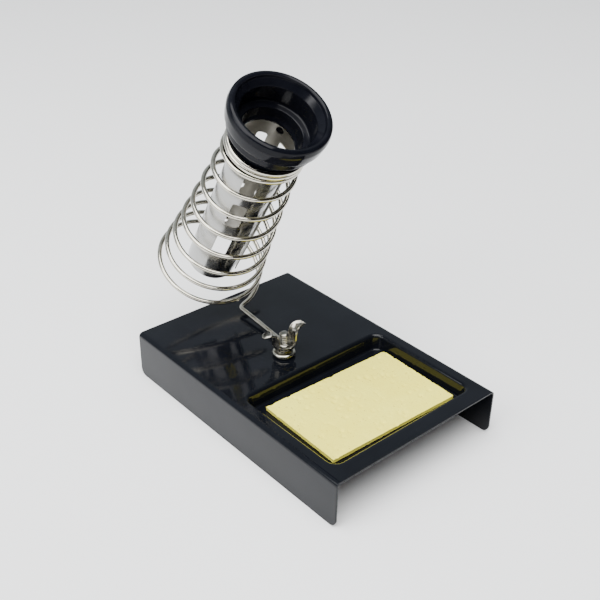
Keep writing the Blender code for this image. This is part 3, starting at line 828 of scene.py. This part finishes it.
def wing_nut_mesh():
    """The nut's upper skin: a threaded collar, a shallow cup and two trough-like wings."""
    bm = bmesh.new()
    around = 96
    seat = 0.75 * MM
    collar = [(BORE_RADIUS, 0.3), (BORE_RADIUS, 2.3), (BORE_RADIUS + 0.3 * MM, 2.5),
              (BORE_RADIUS + 0.65 * MM, 2.3), (BORE_RADIUS + 0.8 * MM, 1.3),
              (BORE_RADIUS + 1.0 * MM, 0.85)]
    cup = [(0.84, 0.78), (0.93, 1.0), (0.98, 1.6), (1.0, 2.3), (1.03, 2.9)]
    rows = []
    for i in range(around):
        turn = math.tau * i / around
        c, s = math.cos(turn), math.sin(turn)
        row = [(r * c, r * s, z * MM) for r, z in collar]
        notch = 1 - 0.12 * math.exp(-(math.remainder(turn, math.pi) - math.pi / 2) ** 2 / 0.02)
        row += [(NUT_CUP_RADIUS * share * c, NUT_CUP_RADIUS * share * s, z * notch * MM)
                for share, z in cup]
        rows.append([bm.verts.new(point) for point in row])
    for i in range(around):
        left, right = rows[i], rows[(i + 1) % around]
        for j in range(len(left) - 1):
            bm.faces.new((left[j], right[j], right[j + 1], left[j + 1]))
    across, along = 14, 44
    for side in (1, -1):
        lines = []
        for j in range(along + 1):
            x, z, half = along_wing(j / along)
            ahead = along_wing(min(1.0, (j + 0.5) / along)) - along_wing(max(0.0, (j - 0.5) / along))
            inward = Vector((-ahead.y, 0.0, ahead.x)).normalized()
            trough = 1.15 * MM * smooth_step(j / along / 0.18)
            line = []
            for k in range(across + 1):
                t = 2 * k / across - 1
                lift = trough * abs(t) ** 2.2 * min(1.0, half / (1.6 * MM))
                point = Vector((x, t * half, z)) + inward * lift
                line.append(bm.verts.new((side * point.x, side * point.y, seat + point.z)))
            lines.append(line)
        for j in range(along):
            for k in range(across):
                bm.faces.new((lines[j][k], lines[j][k + 1], lines[j + 1][k + 1], lines[j + 1][k]))
    return finish_mesh("pressed_wing_nut", bm, math.radians(80))


def build_wing_nut(material):
    place = Matrix.Translation((STUD.x, STUD.y, NUT_LOW.z)) @ Matrix.Rotation(NUT_TURN, 4, "Z")
    nut = add_object("pressed_wing_nut", wing_nut_mesh(), place)
    sheet = nut.modifiers.new("sheet", "SOLIDIFY")
    sheet.thickness = NUT_SHEET
    sheet.offset = 0.0
    add_bevel(nut, 0.2 * MM, 2, math.radians(60))
    bake(nut, math.radians(60))
    return show(nut, material, "nut", "wing_nut")


# ---------------------------------------------------------------- wire holder

def coil_frame():
    axis = Vector((math.sin(COIL_LEAN) * math.cos(COIL_TILT),
                   -math.cos(COIL_LEAN) * math.cos(COIL_TILT),
                   math.sin(COIL_TILT)))
    right = axis.cross(Vector((0.0, 0.0, 1.0))).normalized()
    right = right if right.x > 0 else -right
    return axis, right, axis.cross(right)


def coil_matrix():
    """Places things modelled along +Z on the coil's axis."""
    axis, right, back = coil_frame()
    matrix = Matrix((right, back, axis)).transposed().to_4x4()
    matrix.translation = STUD + COIL_FOOT
    return matrix


def coil_pitch(turn):
    swell = math.cos(math.tau * (turn - SWELL_START) / SWELL_TURNS)
    pitch = PITCH_MEAN - PITCH_SWELL * swell - PITCH_EASE * max(0.0, 1 - turn)
    blend = smooth_step((turn - OPEN_TURNS + 0.15) / 0.3)
    return pitch + (PITCH_CLOSE - pitch) * blend


def coil_radius(station):
    share = min(1.0, station / NECK_STATION)
    share += COIL_WAIST * share * (1 - share)
    return COIL_FOOT_RADIUS + (COIL_NECK_RADIUS - COIL_FOOT_RADIUS) * share


def coil_points():
    place = coil_matrix()
    station = COIL_START
    points = []
    for i in range(round(COIL_TURNS * STEPS_PER_TURN) + 1):
        turn = i / STEPS_PER_TURN
        angle = math.tau * turn + COIL_PHASE
        radius = coil_radius(station)
        points.append(place @ Vector((radius * math.sin(angle),
                                      -radius * math.cos(angle), station)))
        station += coil_pitch(turn + 0.5 / STEPS_PER_TURN) / STEPS_PER_TURN
    return points


def rounded_corner(before, corner, after, radius, steps=14):
    to_before = (before - corner).normalized()
    to_after = (after - corner).normalized()
    half = to_before.angle(to_after) / 2
    reach = radius / math.tan(half)
    bisector = (to_before + to_after).normalized()
    centre = corner + bisector * radius / math.sin(half)
    start = corner + to_before * reach - centre
    end = corner + to_after * reach - centre
    return [centre + start.slerp(end, i / steps) * radius for i in range(steps + 1)]


def holder_points():
    coil = coil_points()
    corner = coil[0]
    eye_level = HOLDER_LOW.z + WIRE_RADIUS
    offset = corner - STUD
    distance = math.hypot(offset.x, offset.y)
    heading = math.atan2(offset.y, offset.x) + math.asin(EYE_RADIUS / distance)
    leave = heading - math.pi / 2
    eye = arc((STUD.x, STUD.y), EYE_RADIUS, leave - math.tau + EYE_OPENING, leave, 72)
    eye = [Vector((x, y, eye_level)) for x, y in eye]
    skip = STEPS_PER_TURN // 24
    bend = rounded_corner(eye[-1], corner, coil[skip], BEND_RADIUS)
    arm = [eye[-1].lerp(bend[0], i / 24) for i in range(1, 24)]
    return eye + arm + bend + coil[skip:]


def swept_mesh(name, points, radius, sides):
    """A round wire along a line of points, with softly cut ends and a UV map."""
    line = np.array([tuple(point) for point in points])
    tangents = np.gradient(line, axis=0)
    tangents /= np.linalg.norm(tangents, axis=1)[:, None]
    travel = np.concatenate([[0.0], np.cumsum(np.linalg.norm(np.diff(line, axis=0), axis=1))])
    normal = np.cross(tangents[0], (0.0, 0.0, 1.0))
    normal /= np.linalg.norm(normal)
    soft = 0.2 * radius
    stations = [(line[0] - tangents[0] * 0.0, 1 - 0.2, 0)]
    stations += [(line[0] + tangents[0] * soft, 1.0, 0)]
    stations += [(point, 1.0, i) for i, point in enumerate(line)][1:-1]
    stations += [(line[-1] - tangents[-1] * soft, 1.0, len(line) - 1)]
    stations += [(line[-1], 1 - 0.2, len(line) - 1)]
    bm = bmesh.new()
    uv = bm.loops.layers.uv.new("UVMap")
    rings = []
    lengths = []
    for centre, share, index in stations:
        tangent = tangents[index]
        normal = normal - tangent * float(normal @ tangent)
        normal /= np.linalg.norm(normal)
        across = np.cross(tangent, normal)
        ring = []
        for k in range(sides):
            angle = math.tau * k / sides
            spoke = normal * math.cos(angle) + across * math.sin(angle)
            ring.append(bm.verts.new(centre + spoke * radius * share))
        rings.append(ring)
        lengths.append(travel[index] / MM)
    for i in range(len(rings) - 1):
        for k in range(sides):
            m = (k + 1) % sides
            face = bm.faces.new((rings[i][k], rings[i][m], rings[i + 1][m], rings[i + 1][k]))
            corners = ((i, k), (i, k + 1), (i + 1, k + 1), (i + 1, k))
            for loop, (row, column) in zip(face.loops, corners):
                loop[uv].uv = (lengths[row], column / sides)
    bm.faces.new(rings[0])
    bm.faces.new(rings[-1])
    return finish_mesh(name, bm, math.radians(40))


def build_spring_holder():
    mesh = swept_mesh("coiled_wire", holder_points(), WIRE_RADIUS, 18)
    wire = add_object("coiled_wire", mesh)
    return show(wire, nickel_wire(), "holder", "spring_holder")


# ---------------------------------------------------------------- funnel

def funnel_outline():
    """(radius, station, rounding) round the funnel's wall."""
    neck = COIL_NECK_RADIUS - WIRE_RADIUS - 0.08 * MM
    corners = [
        (FUNNEL_BORE, FUNNEL_BOTTOM, 0.3), (FUNNEL_BORE, FUNNEL_SEAT, 0.1),
        (FUNNEL_HOLE, FUNNEL_SEAT, 0.3), (FUNNEL_HOLE, FUNNEL_THROAT, 0.4),
        (FUNNEL_HOLE + 0.9 * MM, FUNNEL_THROAT + 1.3 * MM, 0.5),
        (FUNNEL_HOLE + 1.8 * MM, FUNNEL_STEP, 0.6),
        (FUNNEL_CAVITY - 0.1 * MM, FUNNEL_STEP + 0.6 * MM, 1.1),
        (FUNNEL_CAVITY, FUNNEL_EDGE - 0.1 * MM, 0.6),
        (FUNNEL_CREST - 1.5 * MM, FUNNEL_TOP - 1.7 * MM, 0.4),
        (FUNNEL_CREST - 1.0 * MM, FUNNEL_TOP - 0.3 * MM, 0.7),
        (FUNNEL_CREST + 0.2 * MM, FUNNEL_TOP, 1.0),
        (FUNNEL_RADIUS - 0.5 * MM, FUNNEL_TOP - 0.6 * MM, 1.6),
        (FUNNEL_RADIUS, FUNNEL_TOP - 3.4 * MM, 4.0),
        (FUNNEL_RADIUS - 0.3 * MM, FUNNEL_LIP_BOTTOM + 3.4 * MM, 3.0),
        (FUNNEL_RADIUS - 0.8 * MM, FUNNEL_LIP_BOTTOM, 1.9),
        (FUNNEL_COLLAR, FUNNEL_LIP_BOTTOM - 0.2 * MM, 0.8),
        (FUNNEL_COLLAR, FUNNEL_COLLAR_BOTTOM, 1.0),
        (neck, FUNNEL_COLLAR_BOTTOM, 0.8), (neck, FUNNEL_BOTTOM, 0.4)]
    return rounded_outline([(r, s, size * MM) for r, s, size in corners], 7)


def build_funnel():
    mesh = turned_mesh("moulded_funnel", funnel_outline(), 144)
    funnel = add_object("moulded_funnel", mesh, coil_matrix())
    bake(funnel, math.radians(60))
    return show(funnel, black_moulding(), "holder", "funnel")


# ---------------------------------------------------------------- heat tube

def tube_radius(station):
    share = (station - TUBE_BOTTOM) / (TUBE_TOP - TUBE_BOTTOM)
    return TUBE_BOTTOM_RADIUS + (TUBE_TOP_RADIUS - TUBE_BOTTOM_RADIUS) * share


def tube_sheet_mesh():
    """The rolled sheet: a tapered wrap whose free edge springs off at the seam."""
    around = 168
    along = 30
    bm = bmesh.new()
    uv = bm.loops.layers.uv.new("UVMap")
    skins = []
    for side in (-1, 1):
        skin = []
        for i in range(around + 1):
            share = i / around
            angle = SEAM_ANGLE + TUBE_WRAP * share
            roll = TUBE_ROLL * (1 - share)
            line = []
            for j in range(along + 1):
                station = TUBE_BOTTOM + (TUBE_TOP - TUBE_BOTTOM) * j / along
                radius = tube_radius(station) + roll + side * TUBE_SHEET / 2
                line.append(bm.verts.new((radius * math.sin(angle),
                                          -radius * math.cos(angle), station)))
            skin.append(line)
        skins.append(skin)
    inner, outer = skins

    def quad(*corners):
        face = bm.faces.new([corner[0] for corner in corners])
        for loop, (_, i, j) in zip(face.loops, corners):
            loop[uv].uv = (i / around, j / along)

    for i in range(around):
        for j in range(along):
            for skin in skins:
                quad((skin[i][j], i, j), (skin[i + 1][j], i + 1, j),
                     (skin[i + 1][j + 1], i + 1, j + 1), (skin[i][j + 1], i, j + 1))
        for j in (0, along):
            quad((inner[i][j], i, j), (inner[i + 1][j], i + 1, j),
                 (outer[i + 1][j], i + 1, j), (outer[i][j], i, j))
    for j in range(along):
        for i in (0, around):
            quad((inner[i][j], i, j), (inner[i][j + 1], i, j + 1),
                 (outer[i][j + 1], i, j + 1), (outer[i][j], i, j))
    return finish_mesh("rolled_tube", bm)


def slot_block(name, width, length, radius, angle, station):
    if width == length == 2 * radius:
        outline = arc((0.0, 0.0), radius, 0.0, math.tau, 32)[:-1]
    else:
        outline = rounded_rectangle(width / 2, length / 2, radius, 8)
    reach = (TUBE_BOTTOM_RADIUS * 0.4, TUBE_TOP_RADIUS * 1.5)
    rings = [[(x, y, z) for y, z in outline] for x in reach]
    place = coil_matrix() @ Matrix.Translation((0.0, 0.0, station))
    place @= Matrix.Rotation(angle - math.pi / 2, 4, "Z")
    return add_object(name, lofted_mesh(name, rings), place)


def build_heat_tube():
    """The tube with its front slots, back holes and windows, fixing hole and lower notch."""
    tube = add_object("rolled_tube", tube_sheet_mesh(), coil_matrix())
    cuts = [slot_block(f"slot_{k}", SLOT_WIDTH, SLOT_LENGTH, SLOT_CORNER, SLOT_ANGLES[0], station)
            for k, station in enumerate(SLOT_STATIONS)]
    cuts += [slot_block(f"back_hole_{i}_{k}", WINDOW_WIDTH, BACK_HOLE_LENGTH, WINDOW_CORNER,
                        angle, station)
             for i, angle in enumerate(SLOT_ANGLES[1:])
             for k, station in enumerate(BACK_HOLE_STATIONS)]
    cuts.append(slot_block("notch", NOTCH_WIDTH, NOTCH_LENGTH, SLOT_CORNER, NOTCH_ANGLE,
                           TUBE_BOTTOM))
    cuts += [slot_block(f"window_{i}", WINDOW_WIDTH, WINDOW_LENGTH, WINDOW_CORNER, angle,
                        WINDOW_STATION) for i, angle in enumerate(SLOT_ANGLES[1:])]
    cuts.append(slot_block("fixing_hole", 2 * FIXING_HOLE_RADIUS, 2 * FIXING_HOLE_RADIUS,
                           FIXING_HOLE_RADIUS, FIXING_HOLE_ANGLE, FIXING_HOLE_STATION))
    for cut in cuts:
        add_boolean(tube, cut, "DIFFERENCE")
    bake(tube, math.radians(40))
    remove(*cuts)
    show(tube, bright_sheet(), "holder", "heat_tube")
    tube.data.materials.append(stained_sheet())
    place = coil_matrix().inverted()
    turn = place.to_3x3()
    for face in tube.data.polygons:
        centre = place @ face.center
        if (turn @ face.normal).to_2d().dot(centre.to_2d()) < 0:
            face.material_index = 1
    return tube


# ---------------------------------------------------------------- studio

def floor_material():
    s = Shading("studio_floor")
    tone = s.ramp(s.noise(s.place(), 3.0, 2.0), (0.3, (0.95, 0.95, 0.95)), (0.7, (0.97, 0.97, 0.97)))
    s.set(base_color=tone, roughness=0.9, specular=0.1)
    return s.material


def build_studio():
    bm = bmesh.new()
    bmesh.ops.create_grid(bm, x_segments=2, y_segments=2, size=4.0)
    floor = add_object("floor", finish_mesh("floor", bm), Matrix.Translation((0, 0, -0.05 * MM)))
    floor.data.materials.append(floor_material())


def add_light(name, azimuth, elevation, distance, size, power, colour=(1.0, 1.0, 1.0)):
    """A soft box on a sphere round the stand; azimuth 0 is in front, at -Y."""
    a, e = math.radians(azimuth), math.radians(elevation)
    away = Vector((math.sin(a) * math.cos(e), -math.cos(a) * math.cos(e), math.sin(e)))
    light = bpy.data.lights.new(name, "AREA")
    light.shape = "RECTANGLE"
    light.size, light.size_y = size
    light.energy = power
    light.color = colour
    obj = bpy.data.objects.new(name, light)
    bpy.context.collection.objects.link(obj)
    obj.location = Vector((0.0, 0.0, 0.06)) + away * distance
    obj.rotation_euler = away.to_track_quat("Z", "Y").to_euler()
    return obj


def build_lights():
    """Two soft boxes, and surroundings that are darker in front than behind."""
    add_light("overhead", azimuth=-50, elevation=72, distance=1.9, size=(2.0, 2.0), power=104.0)
    add_light("side", azimuth=-100, elevation=34, distance=1.2, size=(0.9, 0.6), power=9.0)
    world = bpy.data.worlds.new("studio")
    bpy.context.scene.world = world
    world.use_nodes = True
    tree = world.node_tree
    background = tree.nodes["Background"]
    coordinates = tree.nodes.new("ShaderNodeTexCoord")
    toward_back = tree.nodes.new("ShaderNodeVectorMath")
    toward_back.operation = "DOT_PRODUCT"
    toward_back.inputs[1].default_value = (-0.15, 0.95, 0.27)
    ramp = tree.nodes.new("ShaderNodeValToRGB")
    spread = tree.nodes.new("ShaderNodeMapRange")
    spread.inputs["From Min"].default_value = -1.0
    tree.links.new(coordinates.outputs["Generated"], toward_back.inputs[0])
    tree.links.new(toward_back.outputs["Value"], spread.inputs["Value"])
    tree.links.new(spread.outputs["Result"], ramp.inputs["Fac"])
    tree.links.new(ramp.outputs["Color"], background.inputs["Color"])
    elements = ramp.color_ramp.elements
    elements[0].position, elements[0].color = 0.34, (0.020, 0.020, 0.022, 1.0)
    elements[1].position, elements[1].color = 0.84, (0.62, 0.68, 0.73, 1.0)
    background.inputs["Strength"].default_value = 0.9


def build_camera():
    a, e = CAMERA_AZIMUTH, CAMERA_ELEVATION
    back = Vector((math.sin(a) * math.cos(e), -math.cos(a) * math.cos(e), math.sin(e)))
    right = Vector((0.0, 0.0, 1.0)).cross(back).normalized()
    up = back.cross(right)
    c, s = math.cos(CAMERA_ROLL), math.sin(CAMERA_ROLL)
    right, up = right * c + up * s, up * c - right * s
    camera = bpy.data.cameras.new("camera")
    camera.lens = CAMERA_LENS
    camera.sensor_width = CAMERA_SENSOR
    obj = bpy.data.objects.new("camera", camera)
    bpy.context.collection.objects.link(obj)
    base = Vector((BASE_CENTRE.x, BASE_CENTRE.y, 0.0))
    place = Matrix((right, up, back)).transposed().to_4x4()
    place.translation = base + right * CAMERA_RIGHT + up * CAMERA_UP + back * CAMERA_DISTANCE
    obj.matrix_world = place
    bpy.context.scene.camera = obj


hardware = plated_hardware()
build_camera()
build_base()
build_sponge()
build_screw(hardware)
build_head_washer(hardware)
build_lock_washer(hardware)
build_wing_nut(hardware)
build_spring_holder()
build_funnel()
build_heat_tube()
build_studio()
build_lights()
